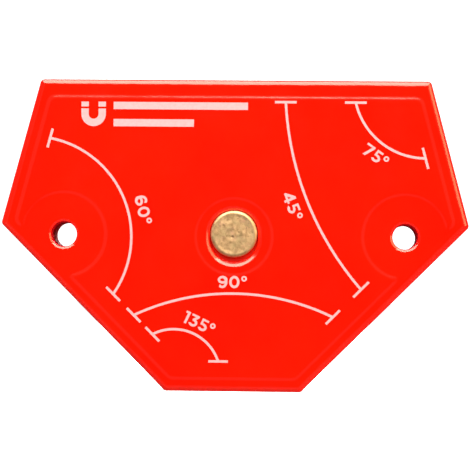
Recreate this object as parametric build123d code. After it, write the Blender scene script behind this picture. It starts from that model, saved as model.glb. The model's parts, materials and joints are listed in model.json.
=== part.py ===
from build123d import *
from math import atan2, degrees, radians, sin, tan
import os

# Welding magnet holder: a six-sided block that holds steel sheets and bars at set angles.
#
# Two stamped steel plates close a moulded core with six ferrite blocks in its pockets. A brass
# rivet clamps the stack in the middle and a steel bush keeps it apart at each through hole.
# Millimetres. X runs along the top edge, Y from the printed face to the rear, Z up. The origin is
# under the middle of the stack, on the plane of the bottom edges.

# Outline of the plates.
overall_width = 95.5
overall_height = 63.6
knee_height = 33.9
side_angle = radians(75)
slant_angle = radians(45)
outline_corner_radius = 1.0

# Thicknesses of the stack.
plate_thickness = 2.0
core_thickness = 10.0
panel_height = 0.15

# Stamped panel of each plate.
panel_inset_top = 3.65
panel_inset_side = 2.85
panel_inset_slant = 2.65
panel_inset_bottom = 2.65
panel_corner_radius = 1.5
panel_tip_radius = 0.5
panel_slope = 0.12
face_edge_rounding = 1.4
back_edge_rounding = 0.25

# Through holes, one near each side corner.
hole_diameter = 5.1
hole_from_side_corner = 13.0
hole_below_knee = 2.1
hole_land_radius = 8.6
hole_lip_radius = 0.4
bush_wall = 1.3

# Rivet and the recess that its head sits in.
rivet_above_holes = 0.3
rivet_head_diameter = 9.5
rivet_head_above_land = 0.35
rivet_head_rounding = 0.6
rivet_shank_diameter = 5.0
recess_depth = 1.0
recess_drop = 1.05
recess_lip_radius = 0.85
recess_land_radius = 7.8

# Moulded core and its magnets.
core_inset = 1.0
core_wall = 2.6
core_rib = 2.0
bush_boss_wall = 1.5
rivet_boss_wall = 3.0
pocket_corner_radius = 0.5
magnet_edge_chamfer = 0.4

# Fits.
shank_clearance = 0.1
head_clearance = 0.12
bush_clearance = 0.05
magnet_clearance = 0.2

# Printed markings on the front panel.
ink_thickness = 0.05
line_width = 0.5
tick_inset_top = 4.6
tick_inset_side = 5.15
tick_inset_slant = 6.35
tick_inset_bottom = 6.15
long_tick = 4.4
short_tick = 4.0
numeral_height = 2.5
numeral_stroke = 0.5
numeral_spacing = 0.35
degree_diameter = 1.15
degree_stroke = 0.34
label_left = 8.4
label_drop = 4.75
label_to_tick = 5.5
label_height = 5.0
label_gap = 1.6

# Each angle arc runs between two ticks, which stand at a distance along an edge from its start.
# Its bulge is a share of its chord, and its numeral stands off it at a share of its length.
arc_45 = dict(
    first=("right_slant", 23.4),
    second=("top", 29.5),
    bulge=0.084,
    tick_length=long_tick,
    numeral_at=0.51,
    numeral_gap=3.1,
)
arc_60 = dict(
    first=("left_side", 11.3),
    second=("left_slant", 21.4),
    bulge=0.272,
    tick_length=short_tick,
    numeral_at=0.577,
    numeral_gap=3.08,
)
arc_75 = dict(
    first=("right_side", 15.0),
    second=("top", 15.3),
    bulge=0.174,
    tick_length=long_tick,
    numeral_at=0.465,
    numeral_gap=2.7,
)
arc_135 = dict(
    first=("left_slant", 9.95),
    second=("bottom", 10.9),
    bulge=0.23,
    tick_length=short_tick,
    numeral_at=0.535,
    numeral_gap=2.42,
)
arc_90_station = 15.4
arc_90_numeral_gap = 2.35
numeral_below_land = 0.2

# Places that follow from the sizes above.
half_core = core_thickness / 2
land_thickness = plate_thickness - panel_height
hole_x = overall_width / 2 - hole_from_side_corner
hole_z = knee_height - hole_below_knee
rivet_z = hole_z + rivet_above_holes
recess_z = rivet_z - recess_drop
middle_z = (rivet_z + recess_z) / 2
recess_radius = rivet_head_diameter / 2 + head_clearance
bush_radius = hole_diameter / 2 + bush_wall
shank_hole_radius = rivet_shank_diameter / 2 + shank_clearance
plate_back = Plane.XZ.offset(half_core)
land_plane = Plane.XZ.offset(half_core + land_thickness)
panel_plane = Plane.XZ.offset(half_core + plate_thickness)


def hexagon_points(top=0, side=0, slant=0, bottom=0):
    """Corners from the top right round to the top left, with an inset for each kind of edge."""
    side_run = side / sin(side_angle)
    slant_run = slant / sin(slant_angle)
    closing = 1 / tan(side_angle) + 1 / tan(slant_angle)
    knee_z = knee_height + (slant_run - side_run) / closing
    high_z = overall_height - top
    half_width = overall_width / 2
    high_x = half_width - (high_z - knee_height) / tan(side_angle) - side_run
    knee_x = half_width - (knee_z - knee_height) / tan(side_angle) - side_run
    low_x = half_width - (knee_height - bottom) / tan(slant_angle) - slant_run
    right = [(high_x, high_z), (knee_x, knee_z), (low_x, bottom)]
    left = [(-x, z) for x, z in reversed(right)]
    return right + left


def hexagon(corner_radius, **insets):
    """The outline as a face with rounded corners."""
    face = make_face(Polyline(*hexagon_points(**insets), close=True))
    return fillet(face.vertices(), corner_radius)


def half_width_at(z, inset):
    """Half the width between the outer edges at height z, measured to an even inset."""
    side_x = overall_width / 2 - (z - knee_height) / tan(side_angle) - inset / sin(side_angle)
    slant_x = overall_width / 2 - (knee_height - z) / tan(slant_angle) - inset / sin(slant_angle)
    return min(side_x, slant_x)


def box_face(x_low, z_low, x_high, z_high):
    """An upright rectangle between two corners."""
    centre = Pos((x_low + x_high) / 2, (z_low + z_high) / 2)
    return centre * Rectangle(x_high - x_low, z_high - z_low)


def slot_face(x, z_low, z_high, radius):
    """An upright slot with its end centres at z_low and z_high."""
    ends = Pos(x, z_low) * Circle(radius) + Pos(x, z_high) * Circle(radius)
    return ends + box_face(x - radius, z_low, x + radius, z_high)


def rim_edges(solid, centre, reach):
    """Edges in the land plane that lie within reach of a point."""
    level = -half_core - land_thickness
    near = []
    for edge in solid.edges().filter_by_position(Axis.Y, level - 0.01, level + 0.01):
        box = edge.bounding_box()
        inside_x = abs(box.min.X - centre[0]) < reach and abs(box.max.X - centre[0]) < reach
        inside_z = abs(box.min.Z - centre[1]) < reach and abs(box.max.Z - centre[1]) < reach
        if inside_x and inside_z:
            near.append(edge)
    return near


# Plates.

def panel_face():
    """The raised part of a plate: the inset outline less a round land at each hole."""
    face = hexagon(
        panel_corner_radius,
        top=panel_inset_top,
        side=panel_inset_side,
        slant=panel_inset_slant,
        bottom=panel_inset_bottom,
    )
    for x in (-hole_x, hole_x):
        face -= Pos(x, hole_z) * Circle(hole_land_radius)
    face -= Pos(0, middle_z) * Circle(recess_land_radius)
    narrowed = offset(face, amount=-panel_tip_radius)
    return offset(narrowed, amount=panel_tip_radius, kind=Kind.ARC)


def front_plate():
    """A stamped plate with rounded face edges, lands, two through holes and the rivet recess."""
    sheet = extrude(plate_back * hexagon(outline_corner_radius), amount=land_thickness)
    face_rim = sheet.faces().sort_by(Axis.Y)[0].outer_wire().edges()
    sheet = fillet(face_rim, face_edge_rounding)
    back_rim = sheet.faces().sort_by(Axis.Y)[-1].outer_wire().edges()
    sheet = fillet(back_rim, back_edge_rounding)
    panel = extrude(land_plane * panel_face(), amount=panel_height)
    panel = chamfer(panel.faces().sort_by(Axis.Y)[0].edges(), panel_slope)
    plate = sheet + panel
    for x in (-hole_x, hole_x):
        bore = plate_back * Pos(x, hole_z) * Circle(hole_diameter / 2)
        plate -= extrude(bore, amount=plate_thickness)
        rim = rim_edges(plate, (x, hole_z), hole_diameter / 2 + 0.1)
        plate = fillet(rim, hole_lip_radius)
    recess = slot_face(0, recess_z, rivet_z, recess_radius)
    plate -= extrude(land_plane * recess, amount=-recess_depth)
    recess_reach = recess_radius + recess_drop / 2 + 0.1
    plate = fillet(rim_edges(plate, (0, middle_z), recess_reach), recess_lip_radius)
    plate -= extrude(plate_back * Pos(0, rivet_z) * Circle(shank_hole_radius), amount=plate_thickness)
    return plate


# Core, magnets, bushes and rivet.

def magnet_pockets():
    """Corners of each pocket, by the name of its magnet."""
    shell = core_inset + core_wall
    bush_boss = bush_radius + bush_clearance + bush_boss_wall
    rivet_boss = shank_hole_radius + rivet_boss_wall
    row_low = max(hole_z + bush_boss, rivet_z + rivet_boss) + core_rib
    row_high = overall_height - shell
    row_half = half_width_at(row_high, shell)
    middle_half = (row_half - core_rib) / 3
    wing_low_x = rivet_boss + core_rib
    wing_high_x = hole_x - bush_boss - core_rib
    wing_high = row_low - core_rib
    wing_low = knee_height - (half_width_at(knee_height, 0) - wing_high_x - shell / sin(slant_angle))
    foot_high = min(wing_low, rivet_z - rivet_boss) - core_rib
    foot_half = half_width_at(shell, shell)
    return {
        "magnet_upper_left": (-row_half, row_low, -middle_half - core_rib, row_high),
        "magnet_upper_middle": (-middle_half, row_low, middle_half, row_high),
        "magnet_upper_right": (middle_half + core_rib, row_low, row_half, row_high),
        "magnet_lower_left": (-wing_high_x, wing_low, -wing_low_x, wing_high),
        "magnet_lower_right": (wing_low_x, wing_low, wing_high_x, wing_high),
        "magnet_bottom": (-foot_half, shell, foot_half, foot_high),
    }


def core_frame():
    """The moulded frame between the plates, with through pockets for magnets, bushes and rivet."""
    insets = dict(top=core_inset, side=core_inset, slant=core_inset, bottom=core_inset)
    body = hexagon(outline_corner_radius, **insets)
    for corners in magnet_pockets().values():
        pocket = box_face(*corners)
        body -= fillet(pocket.vertices(), pocket_corner_radius)
    for x in (-hole_x, hole_x):
        body -= Pos(x, hole_z) * Circle(bush_radius + bush_clearance)
    body -= Pos(0, rivet_z) * Circle(shank_hole_radius)
    return extrude(Plane.XZ * body, amount=half_core, both=True)


def magnet(x_low, z_low, x_high, z_high):
    """A ferrite block that fills a pocket, less the clearance all round."""
    gap = magnet_clearance
    face = box_face(x_low + gap, z_low + gap, x_high - gap, z_high - gap)
    block = extrude(Plane.XZ * face, amount=half_core, both=True)
    return chamfer(block.edges().filter_by(Axis.Y), magnet_edge_chamfer + pocket_corner_radius)


def hole_bush(x):
    """A steel tube that holds the plates apart at a through hole."""
    ring = Pos(x, hole_z) * (Circle(bush_radius) - Circle(hole_diameter / 2))
    return extrude(Plane.XZ * ring, amount=half_core, both=True)


def centre_rivet():
    """A solid brass rivet with a flat round-edged head in each recess."""
    seat = half_core + land_thickness - recess_depth
    rod = Plane.XZ * Pos(0, rivet_z) * Circle(rivet_shank_diameter / 2)
    shank = extrude(rod, amount=seat, both=True)
    disc = Plane.XZ.offset(seat) * Pos(0, rivet_z) * Circle(rivet_head_diameter / 2)
    head = extrude(disc, amount=recess_depth + rivet_head_above_land)
    head = fillet(head.faces().sort_by(Axis.Y)[0].edges(), rivet_head_rounding)
    return shank + head + mirror(head, about=Plane.XZ)


# Numerals, drawn as plain strokes that stand on z = 0 and are centred on x = 0.

cap = numeral_height
stroke = numeral_stroke
thin = 0.85 * numeral_stroke


def oval_ring(x, z, width, height):
    """An upright oval band of one stroke, centred at a point."""
    outer = Ellipse(width / 2, height / 2)
    return Pos(x, z) * (outer - Ellipse(width / 2 - stroke, height / 2 - stroke))


def outline_face(*points):
    """A face with straight edges, given in shares of the numeral height."""
    return make_face(Polyline(*[(x * cap, z * cap) for x, z in points], close=True))


def zero():
    return oval_ring(0, cap / 2, 0.84 * cap, cap)


def one():
    stem = box_face(0.17 * cap - stroke, 0, 0.17 * cap, cap)
    return stem + box_face(-0.2 * cap, cap - thin, 0.17 * cap, cap)


def open_bowl():
    """The round lower half of a three or a five, open to the upper left."""
    bowl = oval_ring(-0.02 * cap, 0.32 * cap, 0.74 * cap, 0.64 * cap)
    mouth = outline_face((-0.02, 0.32), (-0.02, 0.7), (-0.5, 0.7), (-0.5, 0.13))
    return bowl - mouth


def three():
    top = box_face(-0.33 * cap, cap - thin, 0.32 * cap, cap)
    arm = outline_face((0.06, 0.86), (0.32, 0.86), (0.12, 0.6), (-0.14, 0.6))
    middle = box_face(-0.14 * cap, 0.64 * cap - thin, 0, 0.64 * cap)
    return top + arm + middle + open_bowl()


def four():
    stem = box_face(0.08 * cap, 0, 0.08 * cap + stroke, cap)
    bar = box_face(-0.46 * cap, 0.2 * cap, 0.45 * cap, 0.2 * cap + thin)
    slope = outline_face((0.08, 1), (0.2, 1), (0.2, 0.78), (-0.2, 0.3), (-0.46, 0.3), (-0.46, 0.34))
    return stem + bar + slope


def five():
    top = box_face(-0.27 * cap, cap - thin, 0.31 * cap, cap)
    back = box_face(-0.27 * cap, 0.64 * cap - thin, -0.27 * cap + thin, cap)
    middle = box_face(-0.27 * cap, 0.64 * cap - thin, 0, 0.64 * cap)
    return top + back + middle + open_bowl()


def six():
    bowl = oval_ring(0, 0.32 * cap, 0.79 * cap, 0.64 * cap)
    back = oval_ring(0.03 * cap, cap / 2, 0.85 * cap, cap)
    back -= outline_face((0.02, 0.0), (0.6, 0.0), (0.6, 1.1), (0.3, 0.94), (0.25, 0.72), (0.02, 0.6))
    return bowl + back


def seven():
    top = box_face(-0.38 * cap, cap - thin, 0.38 * cap, cap)
    leg = outline_face((0.38, 0.9), (0.38, 0.84), (0.0, 0.0), (-0.23, 0.0), (0.13, 0.8), (0.2, 0.9))
    return top + leg


def nine():
    return Pos(0, cap / 2) * Rot(0, 0, 180) * Pos(0, -cap / 2) * six()


def degree():
    ring = Circle(degree_diameter / 2) - Circle(degree_diameter / 2 - degree_stroke)
    return Pos(0, cap - degree_diameter / 2) * ring


digits = {"0": zero, "1": one, "3": three, "4": four, "5": five, "6": six, "7": seven, "9": nine}


def numeral(text):
    """A number and its degree sign, centred on its own middle."""
    cursor = 0
    row = Sketch()
    for glyph in [digits[letter]() for letter in text] + [degree()]:
        box = glyph.bounding_box()
        row += Pos(cursor - box.min.X, -cap / 2) * glyph
        cursor += box.size.X + numeral_spacing
    return Pos((numeral_spacing - cursor) / 2, 0) * row


# Printed markings: each angle is an arc between two ticks, and each tick lies along an edge.

top_right, knee_right, bottom_right, bottom_left, knee_left, top_left = hexagon_points()
working_edges = {
    "top": (top_right, top_left, tick_inset_top),
    "right_side": (top_right, knee_right, tick_inset_side),
    "left_side": (top_left, knee_left, tick_inset_side),
    "right_slant": (bottom_right, knee_right, tick_inset_slant),
    "left_slant": (bottom_left, knee_left, tick_inset_slant),
    "bottom": (bottom_left, bottom_right, tick_inset_bottom),
}


def tick_frame(edge, station):
    """The middle of a tick and its direction, at a distance along an edge from the edge's start."""
    start, end, inset = working_edges[edge]
    along = (Vector(*end) - Vector(*start)).normalized()
    inward = along.rotate(Axis.Z, 90)
    if inward.dot(Vector(0, hole_z) - Vector(*start)) < 0:
        inward = -inward
    return Vector(*start) + along * station + inward * inset, along


def placed(sketch, middle, along):
    """A sketch moved to a point and turned so that its own X runs along a direction."""
    return Pos(middle.X, middle.Y) * Rot(0, 0, degrees(atan2(along.Y, along.X))) * sketch


def angle_mark(text, first, second, bulge, tick_length, numeral_at, numeral_gap):
    """The arc, ticks and numeral of one angle, bulging to the left of the way from first to second."""
    first_middle, first_along = tick_frame(*first)
    second_middle, second_along = tick_frame(*second)
    chord = second_middle - first_middle
    crown = first_middle + chord * 0.5 + chord.rotate(Axis.Z, 90) * bulge
    arc = ThreePointArc(first_middle, crown, second_middle)
    mark = trace(arc, line_width)
    tick = Rectangle(tick_length, line_width)
    mark += placed(tick, first_middle, first_along)
    mark += placed(tick, second_middle, second_along)
    outward = (arc % numeral_at).rotate(Axis.Z, 90)
    upward = outward if outward.Y > 0 else -outward
    middle = arc @ numeral_at + outward * numeral_gap
    return mark + placed(numeral(text), middle, upward.rotate(Axis.Z, -90))


def label_mark():
    """A plain label: a horseshoe magnet and two bars."""
    radius = label_height / 2
    leg = label_height * 0.3
    tip = label_height * 0.2
    tip_gap = label_height * 0.08
    bar = label_height * 0.3
    bow = Circle(radius) - Circle(radius - leg) - box_face(-radius, 0, radius, radius)
    magnet_icon = bow
    for side in (-1, 1):
        x_middle = side * (radius - leg / 2)
        magnet_icon += box_face(x_middle - leg / 2, 0, x_middle + leg / 2, radius - tip - tip_gap)
        magnet_icon += box_face(x_middle - leg / 2, radius - tip, x_middle + leg / 2, radius)
    bars_left = radius + label_gap
    tick_end = top_right[0] - arc_45["second"][1] - long_tick / 2
    bars_right = tick_end - label_to_tick - top_left[0] - label_left - radius
    label = magnet_icon + box_face(bars_left, radius - bar, bars_right, radius)
    label += box_face(bars_left, -radius, bars_left + 0.6 * (bars_right - bars_left), bar - radius)
    return Pos(top_left[0] + label_left + radius, overall_height - label_drop - radius) * label


def low_arc_bulge():
    """Lifts the arc between the slants as far as leaves its numeral clear of the middle land."""
    tick_middle, _ = tick_frame("right_slant", arc_90_station)
    numeral_z = middle_z - recess_land_radius - numeral_below_land - numeral_height / 2
    return (numeral_z - arc_90_numeral_gap - tick_middle.Y) / (2 * tick_middle.X)


def markings():
    """Every printed piece by name."""
    arc_90 = dict(
        first=("left_slant", arc_90_station),
        second=("right_slant", arc_90_station),
        bulge=low_arc_bulge(),
        tick_length=short_tick,
        numeral_at=0.495,
        numeral_gap=arc_90_numeral_gap,
    )
    return {
        "mark_45": angle_mark("45", **arc_45),
        "mark_60": angle_mark("60", **arc_60),
        "mark_75": angle_mark("75", **arc_75),
        "mark_90": angle_mark("90", **arc_90),
        "mark_135": angle_mark("135", **arc_135),
        "label_mark": label_mark(),
    }


# Every sub-part, by the name of its file.

front = front_plate()
parts = {
    "front_plate": front,
    "rear_plate": mirror(front, about=Plane.XZ),
    "core_frame": core_frame(),
    "left_hole_bush": hole_bush(-hole_x),
    "right_hole_bush": hole_bush(hole_x),
    "centre_rivet": centre_rivet(),
}
for name, corners in magnet_pockets().items():
    parts[name] = magnet(*corners)
for name, sketch in markings().items():
    parts[name] = extrude(panel_plane * sketch, amount=ink_thickness)

os.makedirs("parts", exist_ok=True)
for name, shape in parts.items():
    export_step(shape, f"parts/{name}.step")
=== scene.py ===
"""Looks of the welding magnet holder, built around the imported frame.

The plates, the rivet and the two bushes are made again here with finer edges and surfaces. The
core, the magnets and the print keep their CAD meshes and get a material.

Lengths in the mesh functions are millimetres in the frame's own axes, and to_object() turns them
into metres. X runs along the top edge, Y from the printed face to the rear, and Z up. "Height" is
the distance in front of the middle plane of the stack.
"""

import json
from math import cos, radians, sin, tan, tau

import bmesh
import bpy
import numpy as np
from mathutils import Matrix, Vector, noise
from mathutils.geometry import delaunay_2d_cdt


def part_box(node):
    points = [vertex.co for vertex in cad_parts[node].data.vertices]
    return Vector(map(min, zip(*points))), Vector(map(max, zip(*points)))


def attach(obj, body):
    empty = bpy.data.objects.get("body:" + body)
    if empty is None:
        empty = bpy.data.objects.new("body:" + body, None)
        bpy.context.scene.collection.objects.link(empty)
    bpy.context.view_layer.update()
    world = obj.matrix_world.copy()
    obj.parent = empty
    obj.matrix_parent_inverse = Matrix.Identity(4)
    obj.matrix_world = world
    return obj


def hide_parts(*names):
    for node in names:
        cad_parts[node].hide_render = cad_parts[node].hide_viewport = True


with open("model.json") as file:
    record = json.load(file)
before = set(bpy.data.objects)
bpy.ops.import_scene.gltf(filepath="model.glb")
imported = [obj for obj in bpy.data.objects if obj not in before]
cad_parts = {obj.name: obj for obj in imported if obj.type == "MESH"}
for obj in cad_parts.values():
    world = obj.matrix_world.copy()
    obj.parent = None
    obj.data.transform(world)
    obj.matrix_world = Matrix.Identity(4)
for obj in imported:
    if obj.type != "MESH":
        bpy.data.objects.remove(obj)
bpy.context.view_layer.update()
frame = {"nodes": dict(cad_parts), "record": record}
mounts = {mount["name"]: mount for mount in frame["record"]["mounts"]}

MM = 0.001


# ---------------------------------------------------------------- sizes and places, in millimetres


def box_mm(node):
    """The lowest and highest corner of a CAD node."""
    low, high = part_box(node)
    return np.array(low) / MM, np.array(high) / MM


def mount_xz(name):
    """The place of a mount in the plane of the plates."""
    x, _, z = mounts[name]["pos_m"]
    return np.array((x, z)) / MM


plate_low, plate_high = box_mm("front_plate")
rivet_low, rivet_high = box_mm("centre_rivet")
bush_low, bush_high = box_mm("left_hole_bush")

# The heights of the panel, the plate's back and the rivet come from the frame, and so do the
# outline and the places. The sizes that it doesn't give repeat the part's own, apart from the
# edges, which are shaped after the photograph.
PANEL = -plate_low[1]
PLATE_BACK = -plate_high[1]
PANEL_HEIGHT = 0.15
LAND = PANEL - PANEL_HEIGHT
PANEL_STEP_WIDTH = 1.0
PANEL_INSETS = {"top": 3.65, "side": 2.85, "slant": 2.65, "bottom": 2.65}
PANEL_CORNER = 1.5
PANEL_TIP = 0.6

OUTLINE_CORNER = 1.0
FACE_ROUNDING = 1.4
BACK_ROUNDING = 0.25

HOLE_RADIUS = mounts["left_hole"]["dims"]["r_mm"]
HOLE_CENTRES = [mount_xz("left_hole"), mount_xz("right_hole")]
PLATE_HOLE_RADIUS = 2.64
HOLE_LAND = 8.6
HOLE_LIP = 0.5
HOLE_BEND = 0.3

RIVET_CENTRE = np.array((rivet_low[0] + rivet_high[0], rivet_low[2] + rivet_high[2])) / 2
RIVET_RADIUS = (rivet_high[0] - rivet_low[0]) / 2
RIVET_TOP = -rivet_low[1]
RIVET_ROUNDING = 0.6
RIVET_CHAMFER = 0.12
SHANK_RADIUS = 2.5
SHANK_HOLE_RADIUS = 2.6
DIMPLE_CENTRE = RIVET_CENTRE - np.array((0.3, 0.6))
DIMPLE_RADIUS = 0.2
DIMPLE_DEPTH = 0.12

RECESS_DEPTH = 1.0
RECESS_DROP = 1.05
RECESS_CENTRE = RIVET_CENTRE - np.array((0, RECESS_DROP / 2))
RECESS_RADIUS = 4.87
RECESS_LIP = 0.86
RECESS_BEND = 0.35
RECESS_FILLET = 0.12
RECESS_LAND = 7.8

LIP_SLOPE = radians(32)
LIP_LAST_SLOPE = radians(85)
LIP_LAST_BEND = 0.2

BUSH_RADIUS = (bush_high[0] - bush_low[0]) / 2
BUSH_BORE = HOLE_RADIUS - 0.05
BUSH_CHAMFER = 0.15

# Unevenness of the painted and beaten surfaces: how far they lie back on the whole, layers of
# waves as (length, size), and how far from an edge they have grown to their full size.
RIM_SWELL, RIM_WAVES = 0.1, ((2.6, 0.05), (9.0, 0.05))
FACE_DIP, FACE_WAVES = 0.016, ((5.5, 0.006), (13.0, 0.010))
HEAD_DIP, HEAD_WAVES = 0.04, ((1.1, 0.02), (3.0, 0.02))
RIM_CALM, LIP_CALM, HEAD_CALM = 2.0, 1.0, 0.5

# How finely the meshes are cut, and how near to an edge their inner points may come.
RIM_SPACING = 0.8
CORNER_STEPS = 10
RING_POINTS = 96
GRID_SPACING = 0.9
CONTOUR_SPACING = 0.45
FILL_TOLERANCE = 1e-5
SEWING_GAP = 1e-4
RIM_CLEARANCE = 0.25
LIP_CLEARANCE = 0.2
BACK_MARGINS = (0.15, 1.0)
HOLE_MARGIN = 0.15


# ------------------------------------------------------------------------- plane geometry, X and Z


def edge_lines():
    """The outline's six straight edges, in order round it: kinds, outward normals and distances."""
    edges = []
    for name, mount in mounts.items():
        if mount["kind"] == "flat_face":
            normal = np.array((mount["axis"][0], mount["axis"][2]))
            kind = name.replace("left_", "").replace("right_", "").replace("_edge", "")
            turn = np.arctan2(normal[1], normal[0])
            edges.append((turn, kind, normal, normal @ mount_xz(name)))
    edges.sort(key=lambda edge: edge[0])
    kinds = [edge[1] for edge in edges]
    return kinds, np.array([edge[2] for edge in edges]), np.array([edge[3] for edge in edges])


EDGE_KINDS, EDGE_NORMALS, EDGE_DISTANCES = edge_lines()


def hexagon_corners(insets):
    """The corners where each edge, moved inwards, meets the next one."""
    distances = EDGE_DISTANCES - insets
    corners = []
    for i in range(len(EDGE_NORMALS)):
        j = (i + 1) % len(EDGE_NORMALS)
        corners.append(np.linalg.solve(EDGE_NORMALS[[i, j]], distances[[i, j]]))
    return np.array(corners)


def hexagon_depth(points, insets, radius):
    """How far inside the rounded hexagon the points lie, less than zero outside it."""
    inside = (EDGE_DISTANCES - insets - radius - points @ EDGE_NORMALS.T).min(axis=1)
    corners = hexagon_corners(insets + radius)
    away = np.full(len(points), np.inf)
    for start, end in zip(corners, np.roll(corners, -1, axis=0)):
        along = np.clip((points - start) @ (end - start) / ((end - start) @ (end - start)), 0, 1)
        gap = points - start - along[:, None] * (end - start)
        away = np.minimum(away, np.hypot(gap[:, 0], gap[:, 1]))
    return radius + np.where(inside > 0, inside, -away)


def rounded_both(first, second, radius):
    """Depth inside two shapes at once, with the corners where they cross rounded."""
    gap = np.hypot(np.maximum(radius - first, 0), np.maximum(radius - second, 0))
    return np.maximum(radius, np.minimum(first, second)) - gap


def disc_gap(points, centre, radius):
    """How far outside a disc the points lie."""
    return np.hypot(points[:, 0] - centre[0], points[:, 1] - centre[1]) - radius


def slot_gap(points, radius):
    """How far outside the recess, an upright slot of that radius, the points lie."""
    shifted = points - RECESS_CENTRE
    upright = np.maximum(np.abs(shifted[:, 1]) - RECESS_DROP / 2, 0)
    return np.hypot(shifted[:, 0], upright) - radius


def openings_gap(points):
    """How far outside the lips of the holes and of the recess the points lie."""
    gaps = [disc_gap(points, centre, PLATE_HOLE_RADIUS + HOLE_LIP) for centre in HOLE_CENTRES]
    gaps.append(slot_gap(points, RECESS_RADIUS + RECESS_LIP))
    return np.min(gaps, axis=0)


def outline_depth(points):
    """How far inside the plate's outline the points lie."""
    return hexagon_depth(points, 0.0, OUTLINE_CORNER)


def panel_depth(points):
    """How far inside the raised panel the points lie."""
    insets = np.array([PANEL_INSETS[kind] for kind in EDGE_KINDS])
    depth = hexagon_depth(points, insets, PANEL_CORNER)
    for centre in HOLE_CENTRES:
        depth = rounded_both(depth, disc_gap(points, centre, HOLE_LAND), PANEL_TIP)
    return rounded_both(depth, disc_gap(points, RECESS_CENTRE, RECESS_LAND), PANEL_TIP)


def waves(points, layers, seed):
    """Smooth uneven waves, the sum of layers that each have a length and a size."""
    total = np.zeros(len(points))
    for number, (length, size) in enumerate(layers, seed):
        offset = Vector((number * 7.3, number * 3.1, number * 1.7))
        for i, (x, z) in enumerate(points):
            total[i] += size * 2 * noise.noise(Vector((x, z, 0)) / length + offset)
    return total


def quarter_turn(steps):
    """The angles of a rounding, from 0 to a right angle."""
    return [radians(90) * step / steps for step in range(steps + 1)]


def hexagon_ring(inset, swell=0.0):
    """Points round the outline moved inwards, the same number for any inset. Swell moves them out
    again by a length, or by an array with one for each point."""
    corners = hexagon_corners(max(inset, OUTLINE_CORNER))
    widest = hexagon_corners(OUTLINE_CORNER)
    edge_lengths = np.linalg.norm(np.roll(widest, -1, axis=0) - widest, axis=1)
    points, outwards = [], []
    for i, corner in enumerate(corners):
        first, second = EDGE_NORMALS[i], EDGE_NORMALS[(i + 1) % len(corners)]
        turn = np.arctan2(first[0] * second[1] - first[1] * second[0], first @ second)
        for step in range(CORNER_STEPS + 1):
            angle = turn * step / CORNER_STEPS
            x = first[0] * cos(angle) - first[1] * sin(angle)
            z = first[0] * sin(angle) + first[1] * cos(angle)
            points.append(corner)
            outwards.append((x, z))
        following = corners[(i + 1) % len(corners)]
        count = int(edge_lengths[i] / RIM_SPACING)
        for step in range(1, count):
            points.append(corner + (following - corner) * step / count)
            outwards.append(second)
    reach = max(OUTLINE_CORNER - inset, 0) + np.broadcast_to(swell, len(points))
    return np.array(points) + np.array(outwards) * reach[:, None]


def slot_ring(centre, radius, drop=0.0):
    """Points round a circle, or round an upright slot whose two ends lie a drop apart."""
    angles = (np.arange(RING_POINTS) + 0.5) * tau / RING_POINTS
    ring = np.stack((np.cos(angles), np.sin(angles)), axis=1) * radius
    ring[:, 1] += np.sign(ring[:, 1]) * drop / 2
    return ring + centre


def square_grid(spacing):
    """Points of a square grid over the plate, by column and row."""
    xs = np.arange(plate_low[0], plate_high[0], spacing)
    zs = np.arange(plate_low[2], plate_high[2], spacing)
    return np.stack(np.meshgrid(xs, zs, indexing="ij"), axis=2)


def contour(depth, level):
    """Evenly spread points where a depth has that level, found on a square grid."""
    grid = square_grid(CONTOUR_SPACING)
    values = depth(grid.reshape(-1, 2)).reshape(grid.shape[:2]) - level
    found = []
    for axis in (0, 1):
        other = 1 - axis
        steep = np.abs(np.gradient(values, axis=axis)) >= np.abs(np.gradient(values, axis=other))
        here = values.take(range(values.shape[axis] - 1), axis)
        there = values.take(range(1, values.shape[axis]), axis)
        crossing = (here * there < 0) & steep.take(range(values.shape[axis] - 1), axis)
        start = grid.take(range(values.shape[axis] - 1), axis)[crossing]
        share = (here[crossing] / (here[crossing] - there[crossing]))[:, None]
        step = np.zeros(2)
        step[axis] = CONTOUR_SPACING
        found.append(start + share * step)
    return np.concatenate(found)


# ---------------------------------------------------------------------------------- mesh building


def raised(points, height):
    """Points of the plane at that height, or at one height each."""
    heights = np.broadcast_to(height, len(points))
    return np.stack((points[:, 0], -heights, points[:, 1]), axis=1)


def band(rings):
    """Vertices and faces between rings that have the same number of points."""
    count = len(rings[0])
    faces = []
    for row in range(len(rings) - 1):
        for i in range(count):
            j = (i + 1) % count
            here, there = row * count, (row + 1) * count
            faces.append((here + i, here + j, there + j, there + i))
    return np.concatenate(rings), faces


def filled(rings, inner, keep, height):
    """A face bounded by rings and holding inner points. Keep says of triangles, by their centres,
    which are wanted, and height gives the height of points."""
    points, edges = [], []
    for ring in rings:
        start = len(points)
        edges += [(start + i, start + (i + 1) % len(ring)) for i in range(len(ring))]
        points += [tuple(point) for point in ring]
    points += [tuple(point) for point in inner]
    points = [Vector(point) for point in points]
    vertices, _, faces, _, _, _ = delaunay_2d_cdt(points, edges, [], 0, FILL_TOLERANCE)
    flat = np.array([tuple(v) for v in vertices])
    centres = np.array([flat[list(face)].mean(axis=0) for face in faces])
    kept = [tuple(face) for face, wanted in zip(faces, keep(centres)) if wanted]
    return raised(flat, height(flat)), kept


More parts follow.
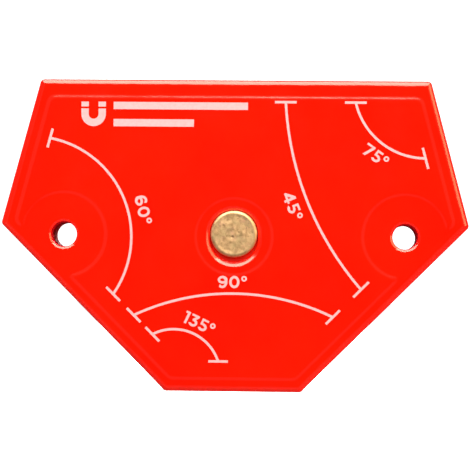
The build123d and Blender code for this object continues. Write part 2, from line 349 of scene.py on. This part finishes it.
def to_object(name, patches):
    """One object in metres from patches of vertices and faces in millimetres, sewn together."""
    mesh = bmesh.new()
    for vertices, faces in patches:
        made = [mesh.verts.new(vertex * MM) for vertex in vertices]
        for face in faces:
            mesh.faces.new([made[i] for i in face])
    bmesh.ops.remove_doubles(mesh, verts=mesh.verts[:], dist=SEWING_GAP * MM)
    loose = [vertex for vertex in mesh.verts if not vertex.link_faces]
    bmesh.ops.delete(mesh, geom=loose, context="VERTS")
    bmesh.ops.recalc_face_normals(mesh, faces=mesh.faces[:])
    for face in mesh.faces:
        face.smooth = True
    data = bpy.data.meshes.new(name)
    mesh.to_mesh(data)
    mesh.free()
    piece = bpy.data.objects.new(name, data)
    bpy.context.scene.collection.objects.link(piece)
    return piece


def mirrored(vertices):
    """The same vertices on the other side of the middle plane."""
    return vertices * np.array((1, -1, 1))


# ------------------------------------------------------------------------------------- the pieces


def dished_lip(width, bend):
    """A countersunk edge from its outer border in: distances out from the wall and down from the
    land. It bends down, runs straight at LIP_SLOPE and bends again into the wall."""
    points = [(0.0, 0.0)]
    for step in range(1, 7):
        angle = LIP_SLOPE * step / 6
        points.append((bend * sin(angle), bend * (1 - cos(angle))))
    across, down = points[-1]
    run = width - across - LIP_LAST_BEND * (sin(LIP_LAST_SLOPE) - sin(LIP_SLOPE))
    for share in (0.33, 0.67, 1.0):
        points.append((across + run * share, down + run * share * tan(LIP_SLOPE)))
    across, down = points[-1]
    for step in range(1, 5):
        angle = LIP_SLOPE + (LIP_LAST_SLOPE - LIP_SLOPE) * step / 4
        further = LIP_LAST_BEND * (sin(angle) - sin(LIP_SLOPE))
        points.append((across + further, down + LIP_LAST_BEND * (cos(LIP_SLOPE) - cos(angle))))
    return [(width - across, down) for across, down in points]


def rim_patch(uneven):
    """The plate's outer edge, from its back to the border of its face, which the paint leaves
    uneven."""
    rings = []
    for angle in quarter_turn(3):
        ring = hexagon_ring(BACK_ROUNDING * (1 - sin(angle)))
        rings.append(raised(ring, PLATE_BACK + BACK_ROUNDING * (1 - cos(angle))))
    for angle in quarter_turn(10):
        inwards = 1 - cos(angle)
        ring = hexagon_ring(FACE_ROUNDING * inwards, uneven * inwards)
        rings.append(raised(ring, LAND - FACE_ROUNDING * (1 - sin(angle))))
    return band(rings)


def hole_patch(centre, lip):
    """The wall of a through hole, from its lip on the face to the plate's back."""
    rings = []
    for across, down in lip:
        rings.append(raised(slot_ring(centre, PLATE_HOLE_RADIUS + across), LAND - down))
    rings.append(raised(slot_ring(centre, PLATE_HOLE_RADIUS), PLATE_BACK))
    return band(rings)


def recess_patch(lip):
    """The rivet's recess, from its lip across its floor and down the hole for the shank."""
    rings = []
    for across, down in lip:
        ring = slot_ring(RECESS_CENTRE, RECESS_RADIUS + across, RECESS_DROP)
        rings.append(raised(ring, LAND - down))
    recess_floor = LAND - RECESS_DEPTH
    for angle in quarter_turn(4):
        inset = RECESS_FILLET * (1 - cos(angle))
        ring = slot_ring(RECESS_CENTRE, RECESS_RADIUS - inset, RECESS_DROP)
        rings.append(raised(ring, recess_floor + RECESS_FILLET * (1 - sin(angle))))
    shank_hole = slot_ring(RIVET_CENTRE, SHANK_HOLE_RADIUS)
    rings += [raised(shank_hole, recess_floor), raised(shank_hole, PLATE_BACK)]
    return band(rings)


def face_height(points, seed):
    """The land with the panel raised on it, and the paint's slow waves away from the edges."""
    share = np.clip(panel_depth(points) / PANEL_STEP_WIDTH + 0.5, 0, 1)
    rise = share * share * (3 - 2 * share)
    from_rim = (outline_depth(points) - FACE_ROUNDING) / RIM_CALM
    calm = np.clip(np.minimum(from_rim, openings_gap(points) / LIP_CALM), 0, 1)
    dip = FACE_DIP + waves(points, FACE_WAVES, seed + 2)
    return LAND + PANEL_HEIGHT * rise - calm * dip


def face_points():
    """Points that carry the face's shape: rows along the panel's step, and a grid elsewhere."""
    levels = np.linspace(-0.5, 0.5, 9) * PANEL_STEP_WIDTH
    # The small shift keeps grid points from lying exactly on a level.
    points = [contour(panel_depth, level + 1e-6) for level in levels]
    grid = square_grid(GRID_SPACING).transpose(1, 0, 2).reshape(-1, 2)
    points.append(grid[np.abs(panel_depth(grid)) > PANEL_STEP_WIDTH])
    points = np.concatenate(points)
    clear = outline_depth(points) > FACE_ROUNDING + RIM_CLEARANCE
    return points[clear & (openings_gap(points) > LIP_CLEARANCE)]


def on_face(points):
    """Whether the points lie on the face, between the rim and the lips. The rim's swell takes the
    face a little way out over the rounding."""
    return (outline_depth(points) > FACE_ROUNDING * 0.8) & (openings_gap(points) > 0)


def on_back(points):
    """Whether the points lie on the plate's back, clear of its holes."""
    inside = outline_depth(points) > 0
    for centre in HOLE_CENTRES:
        inside &= disc_gap(points, centre, PLATE_HOLE_RADIUS) > 0
    return inside & (disc_gap(points, RIVET_CENTRE, SHANK_HOLE_RADIUS) > 0)


def back_patch():
    """The plate's flat back. Its margins hold points so that no long thin triangle meets an edge
    and bends the shading there."""
    borders = [hexagon_ring(BACK_ROUNDING)]
    margins = [hexagon_ring(BACK_ROUNDING + margin) for margin in BACK_MARGINS]
    for centre in HOLE_CENTRES:
        borders.append(slot_ring(centre, PLATE_HOLE_RADIUS))
        margins.append(slot_ring(centre, PLATE_HOLE_RADIUS + HOLE_MARGIN))
    borders.append(slot_ring(RIVET_CENTRE, SHANK_HOLE_RADIUS))
    return filled(borders, np.concatenate(margins), on_back, lambda points: PLATE_BACK)


def plate_patches(seed):
    """A stamped plate: rounded edge, raised panel, side holes and the recess for the rivet."""
    uneven = RIM_SWELL + waves(hexagon_ring(0.0), RIM_WAVES, seed)
    hole_lip = dished_lip(HOLE_LIP, HOLE_BEND)
    recess_lip = dished_lip(RECESS_LIP, RECESS_BEND)

    patches = [rim_patch(uneven)]
    patches += [hole_patch(centre, hole_lip) for centre in HOLE_CENTRES]
    patches.append(recess_patch(recess_lip))

    borders = [hexagon_ring(FACE_ROUNDING, uneven)]
    borders += [slot_ring(centre, PLATE_HOLE_RADIUS + HOLE_LIP) for centre in HOLE_CENTRES]
    borders.append(slot_ring(RECESS_CENTRE, RECESS_RADIUS + RECESS_LIP, RECESS_DROP))
    face = filled(borders, face_points(), on_face, lambda points: face_height(points, seed))
    return [*patches, face, back_patch()]


def head_rings(seed):
    """Rings of one rivet head from its underside to the middle of its worn face."""
    under = LAND - RECESS_DEPTH
    profile = [
        (SHANK_RADIUS, under),
        (RIVET_RADIUS - RIVET_CHAMFER, under),
        (RIVET_RADIUS, under + RIVET_CHAMFER),
    ]
    for angle in quarter_turn(8):
        across = RIVET_RADIUS - RIVET_ROUNDING * (1 - cos(angle))
        profile.append((across, RIVET_TOP - RIVET_ROUNDING * (1 - sin(angle))))
    rings = [raised(slot_ring(RIVET_CENTRE, across), height) for across, height in profile]

    face_radius = RIVET_RADIUS - RIVET_ROUNDING
    for step in range(1, 30):
        across = face_radius * (1 - step / 30)
        ring = slot_ring(RIVET_CENTRE, across)
        calm = min(1.0, (face_radius - across) / HEAD_CALM)
        beaten = HEAD_DIP + waves(ring, HEAD_WAVES, seed)
        from_dimple = disc_gap(ring, DIMPLE_CENTRE, 0.0) / DIMPLE_RADIUS
        dimple = DIMPLE_DEPTH * np.exp(-(from_dimple**2))
        rings.append(raised(ring, RIVET_TOP - calm * beaten - dimple))
    return rings


def rivet_patches():
    """The set rivet: two heads and the shank between them."""
    patches, shank = [], []
    for rings in (head_rings(seed=11), [mirrored(ring) for ring in head_rings(seed=17)]):
        shank.append(rings[0])
        patches.append(band(rings))
        last = rings[-1]
        fan = [(i, (i + 1) % len(last), len(last)) for i in range(len(last))]
        patches.append((np.vstack((last, last.mean(axis=0))), fan))
    patches.append(band(shank))
    return patches


def bush_patches(centre):
    """A plain tube with broken edges."""
    profile = [
        (BUSH_BORE, PLATE_BACK - BUSH_CHAMFER),
        (BUSH_BORE + BUSH_CHAMFER, PLATE_BACK),
        (BUSH_RADIUS - BUSH_CHAMFER, PLATE_BACK),
        (BUSH_RADIUS, PLATE_BACK - BUSH_CHAMFER),
    ]
    profile += [(across, -height) for across, height in reversed(profile)]
    profile.append(profile[0])
    return [band([raised(slot_ring(centre, across), height) for across, height in profile])]


# ---------------------------------------------------------------------------------- the materials


class Nodes:
    """A short way to lay out a node tree. An input takes another node's socket or a value."""

    def __init__(self, tree):
        self.tree = tree
        self.coordinates = self.add("ShaderNodeTexCoord")

    def feed(self, socket, value):
        """Links a socket to another one, or sets its value. A colour gets its alpha here."""
        if isinstance(value, bpy.types.NodeSocket):
            self.tree.links.new(value, socket)
        elif isinstance(value, tuple) and socket.type == "RGBA":
            socket.default_value = (*value, 1)
        else:
            socket.default_value = value

    def add(self, kind, inputs=None, **settings):
        node = self.tree.nodes.new(kind)
        for key, value in settings.items():
            setattr(node, key, value)
        for key, value in (inputs or {}).items():
            self.feed(node.inputs[key], value)
        return node

    def ramp(self, fac, *stops):
        """A colour or grey ramp through (position, colour) stops."""
        node = self.add("ShaderNodeValToRGB", {"Fac": fac})
        elements = node.color_ramp.elements
        while len(elements) < len(stops):
            elements.new(0.5)
        for element, (position, colour) in zip(elements, stops):
            element.position = position
            element.color = (*colour, 1) if isinstance(colour, tuple) else (*[colour] * 3, 1)
        return node.outputs["Color"]

    def mix(self, fac, first, second, blend="MIX"):
        """A mix of two colours. The node numbers its colour inputs 6 and 7, and its output 2."""
        inputs = {0: fac, 6: first, 7: second}
        return self.add("ShaderNodeMix", inputs, data_type="RGBA", blend_type=blend).outputs[2]

    def maths(self, operation, *values, clamp=False):
        """One sum on numbers or sockets."""
        inputs = dict(enumerate(values))
        node = self.add("ShaderNodeMath", inputs, operation=operation, use_clamp=clamp)
        return node.outputs[0]


class Material(Nodes):
    """The nodes of a new material, placed by the part's own coordinates."""

    def __init__(self, name):
        self.material = bpy.data.materials.new(name)
        self.material.use_nodes = True
        super().__init__(self.material.node_tree)
        self.shader = self.tree.nodes["Principled BSDF"]
        self.place = self.coordinates.outputs["Object"]

    def noise(self, size, detail=3.0, roughness=0.5):
        """Noise with features of about that size in millimetres."""
        inputs = {"Vector": self.place, "Scale": 1 / (size * MM)}
        inputs |= {"Detail": detail, "Roughness": roughness}
        return self.add("ShaderNodeTexNoise", inputs).outputs["Fac"]

    def bump(self, height, distance, strength=1.0, under=None):
        """A bump of that distance in millimetres, on top of another one where it is given."""
        inputs = {"Height": height, "Distance": distance * MM, "Strength": strength}
        if under is not None:
            inputs["Normal"] = under
        return self.add("ShaderNodeBump", inputs).outputs["Normal"]

    def finish(self, **sockets):
        """Links or sets the shader's sockets, named with underscores for spaces."""
        for key, value in sockets.items():
            self.feed(self.shader.inputs[key.replace("_", " ")], value)
        return self.material


def red_paint():
    """Gloss powder coat: fine orange peel, slow drift of colour and gloss."""
    n = Material("red_powder_coat")
    drift = n.ramp(n.noise(16, 2), (0.3, (0.86, 0.0044, 0.0002)), (0.7, (0.9, 0.0062, 0.0003)))
    speckle = n.ramp(n.noise(0.8, 2), (0.35, 0.93), (0.6, 1.0))
    colour = n.mix(1.0, drift, speckle, "MULTIPLY")
    gloss = n.ramp(n.noise(6, 3), (0.3, 0.11), (0.7, 0.17))
    peel = n.bump(n.noise(1.1, 2, 0.4), 0.02, 0.5)
    peel = n.bump(n.noise(3.5, 1, 0.4), 0.03, 0.5, peel)
    return n.finish(
        Base_Color=colour,
        Roughness=gloss,
        Normal=peel,
        Specular_Tint=(1.0, 0.8, 0.62),
        Specular_IOR_Level=1.0,
    )


def brass():
    """Peened brass: mottled tarnish in green and pink, pits, small nicks and painted shade in the
    dimple.
    """
    n = Material("brass")
    tone = n.ramp(
        n.noise(0.9, 6, 0.7),
        (0.3, (0.40, 0.23, 0.10)),
        (0.5, (0.6, 0.37, 0.17)),
        (0.7, (0.74, 0.49, 0.25)),
    )
    green = n.ramp(n.noise(2.2, 4, 0.6), (0.45, 0.0), (0.7, 0.5))
    tone = n.mix(green, tone, (0.42, 0.35, 0.16))
    pink = n.ramp(n.noise(1.3, 4, 0.6), (0.52, 0.0), (0.75, 0.45))
    tone = n.mix(pink, tone, (0.72, 0.35, 0.24))
    pits = n.ramp(n.noise(0.45, 4, 0.7), (0.27, 0.3), (0.38, 1.0))
    tone = n.mix(1.0, tone, pits, "MULTIPLY")
    gloss = n.ramp(n.noise(0.9, 4, 0.6), (0.3, 0.4), (0.7, 0.6))
    worn = n.bump(n.noise(0.35, 4, 0.6), 0.02, 0.6)
    # Painted shade: the colour is darkened round the dimple in the head's face, where shade falls
    # in the hollow.
    dimple = (DIMPLE_CENTRE[0] * MM, -RIVET_TOP * MM, DIMPLE_CENTRE[1] * MM)
    away = n.add("ShaderNodeVectorMath", {0: n.place, 1: dimple}, operation="DISTANCE")
    reach = {"From Min": 0.12 * MM, "From Max": 0.35 * MM, "To Min": 0.35}
    painted_dimple_shade = n.add("ShaderNodeMapRange", {"Value": away.outputs["Value"], **reach})
    tone = n.mix(1.0, tone, painted_dimple_shade.outputs[0], "MULTIPLY")
    return n.finish(Base_Color=tone, Metallic=0.75, Roughness=gloss, Normal=worn)


def bush_steel():
    """Steel tube with thin, patchy red overspray, thinnest at its middle."""
    n = Material("painted_bush")
    depth = n.add("ShaderNodeSeparateXYZ", {"Vector": n.place}).outputs["Y"]
    thick = n.maths("MULTIPLY", n.maths("ABSOLUTE", depth), 1 / (PLATE_BACK * MM))
    patchy = n.maths("MULTIPLY", thick, n.noise(1.2, 3))
    colour = n.ramp(patchy, (0.1, (0.45, 0.006, 0.012)), (0.45, (0.5, 0.005, 0.01)))
    gloss = n.ramp(n.noise(0.8, 3), (0.3, 0.55), (0.7, 0.75))
    worn = n.bump(n.noise(0.5, 3), 0.02, 0.5)
    return n.finish(Base_Color=colour, Roughness=gloss, Normal=worn, Specular_IOR_Level=0.05)


def core_plastic():
    """Black moulded plastic with a fine spark-eroded grain."""
    n = Material("core_plastic")
    colour = n.ramp(n.noise(4, 4), (0.3, (0.018, 0.018, 0.02)), (0.7, (0.035, 0.035, 0.037)))
    gloss = n.ramp(n.noise(1.5, 3), (0.3, 0.5), (0.7, 0.65))
    grain = n.bump(n.noise(0.22, 2), 0.02, 0.6)
    return n.finish(Base_Color=colour, Roughness=gloss, Normal=grain, Specular_IOR_Level=0.3)


def ferrite():
    """Ground sintered ferrite: dark, matt and slightly pitted."""
    n = Material("ferrite")
    colour = n.ramp(n.noise(1.0, 5), (0.3, (0.04, 0.04, 0.045)), (0.7, (0.08, 0.08, 0.085)))
    gloss = n.ramp(n.noise(0.6, 3), (0.3, 0.55), (0.7, 0.75))
    return n.finish(Base_Color=colour, Roughness=gloss, Normal=n.bump(n.noise(0.3, 4), 0.03, 0.5))


def ink():
    """Thin white print through which the red shows a little."""
    n = Material("white_ink")
    colour = n.ramp(n.noise(0.7, 4, 0.6), (0.25, (0.84, 0.275, 0.27)), (0.6, (0.9, 0.325, 0.32)))
    gloss = n.ramp(n.noise(1.2, 2), (0.3, 0.4), (0.7, 0.5))
    return n.finish(Base_Color=colour, Roughness=gloss, Normal=n.bump(n.noise(0.4, 2), 0.01, 0.5))


def pale_floor():
    """Plain white card with a little light of its own."""
    n = Material("pale_floor")
    colour = n.ramp(n.noise(60, 2), (0.3, (0.84, 0.84, 0.84)), (0.7, (0.87, 0.87, 0.87)))
    glow = {"Emission_Color": (1, 1, 1), "Emission_Strength": 0.95}
    return n.finish(Base_Color=colour, Roughness=0.7, **glow)


# ------------------------------------------------------------------------------ putting it together

materials = {
    "red_powder_coat": red_paint(),
    "brass": brass(),
    "painted_bush": bush_steel(),
    "core_plastic": core_plastic(),
    "ferrite": ferrite(),
    "white_ink": ink(),
}


def add_piece(node, patches, slot):
    """A detailed piece that stands for one CAD node."""
    piece = to_object(node + "_detail", patches)
    piece.data.materials.append(materials[slot])
    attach(piece, "root")
    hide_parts(node)


rear_patches = [(mirrored(vertices), faces) for vertices, faces in plate_patches(seed=5)]
add_piece("front_plate", plate_patches(seed=1), "red_powder_coat")
add_piece("rear_plate", rear_patches, "red_powder_coat")
add_piece("centre_rivet", rivet_patches(), "brass")
add_piece("left_hole_bush", bush_patches(HOLE_CENTRES[0]), "painted_bush")
add_piece("right_hole_bush", bush_patches(HOLE_CENTRES[1]), "painted_bush")

kept_slots = {"core_frame": "core_plastic"}
for node in frame["nodes"]:
    if node.startswith("magnet_"):
        kept_slots[node] = "ferrite"
    if node.startswith(("mark_", "label_")):
        kept_slots[node] = "white_ink"
for node, slot in kept_slots.items():
    data = frame["nodes"][node].data
    data.materials.clear()
    data.materials.append(materials[slot])


# ------------------------------------------------------------------------ floor, lights and camera


def area_light(name, place, aim, size, power, colour=(1, 1, 1)):
    """A soft box at a place in metres, turned to an aim."""
    data = bpy.data.lights.new(name, "AREA")
    data.shape = "RECTANGLE"
    data.size, data.size_y = size
    data.energy = power
    data.color = colour
    light = bpy.data.objects.new(name, data)
    bpy.context.scene.collection.objects.link(light)
    light.location = place
    light.rotation_euler = (Vector(aim) - Vector(place)).to_track_quat("-Z", "Y").to_euler()


def floor():
    """A wide pale card on the plane that the part stands on. The part neither mirrors it nor takes
    its colour, because the world's lower half lights it from below."""
    bpy.ops.mesh.primitive_grid_add(x_subdivisions=8, y_subdivisions=8, size=8)
    card = bpy.context.object
    card.name = "floor"
    card.data.materials.append(pale_floor())
    card.visible_glossy = False
    card.visible_diffuse = False


def studio_world():
    """White to the camera. To everything else its upper half is dark, with a soft pale ring round
    the axis of the plates, in front and behind. Its lower half is pale, but only where it lights
    matt surfaces: to the gloss it is as dark as the upper one."""
    world = bpy.data.worlds.new("studio")
    bpy.context.scene.world = world
    world.use_nodes = True
    n = Nodes(world.node_tree)
    direction = n.add("ShaderNodeSeparateXYZ", {0: n.coordinates.outputs["Generated"]}).outputs
    ray = n.add("ShaderNodeLightPath").outputs
    along_axis = n.maths("ABSOLUTE", direction["Y"])
    upper = n.ramp(along_axis, (0.0, 0.1), (0.7, 0.1), (0.8, 0.14), (0.94, 0.16), (0.975, 0.02))
    lower = n.ramp(
        along_axis,
        (0.0, 0.4),
        (0.15, 1.9),
        (0.68, 1.9),
        (0.8, 0.16),
        (0.9, 0.16),
        (0.95, 0.02),
    )
    blend_range = {"From Min": 0.15, "From Max": -0.15}
    below = n.add("ShaderNodeMapRange", {"Value": direction["Z"], **blend_range}).outputs[0]
    matt = n.maths("SUBTRACT", below, ray["Is Glossy Ray"], clamp=True)
    shown = n.mix(ray["Is Camera Ray"], n.mix(matt, upper, lower), (1.5, 1.5, 1.5))
    n.feed(n.tree.nodes["Background"].inputs["Color"], shown)


def camera():
    """The photograph's view: nearly square on, from a little right of the middle and below it. Its
    place, aim, lens and shift are those that lay the part's outline on the photograph's."""
    data = bpy.data.cameras.new("camera")
    data.sensor_width = 36
    data.lens = 177.65
    data.shift_x = 0.0844
    data.shift_y = 0.0676
    view = bpy.data.objects.new("camera", data)
    bpy.context.scene.collection.objects.link(view)
    face = plate_low[1] * MM
    view.location = (0.0143, face - 0.4715, 0.0203)
    aim = Vector((-0.00778, face, 0.02535))
    turn = (aim - view.location).to_track_quat("-Z", "Y").to_euler()
    turn.rotate_axis("Z", radians(0.6))
    view.rotation_euler = turn
    bpy.context.scene.camera = view


floor()
studio_world()
middle = (0, 0, 0.032)
area_light("top_box", (-0.03, -0.2, 0.46), middle, (0.76, 0.6), 11)
area_light("back_box", (0.05, 0.75, 0.5), middle, (1.0, 0.7), 10)
area_light("right_box", (0.6, -0.3, 0.36), middle, (0.6, 0.8), 6, colour=(1.0, 0.75, 0.45))
camera()
bpy.context.scene.view_settings.view_transform = "Standard"
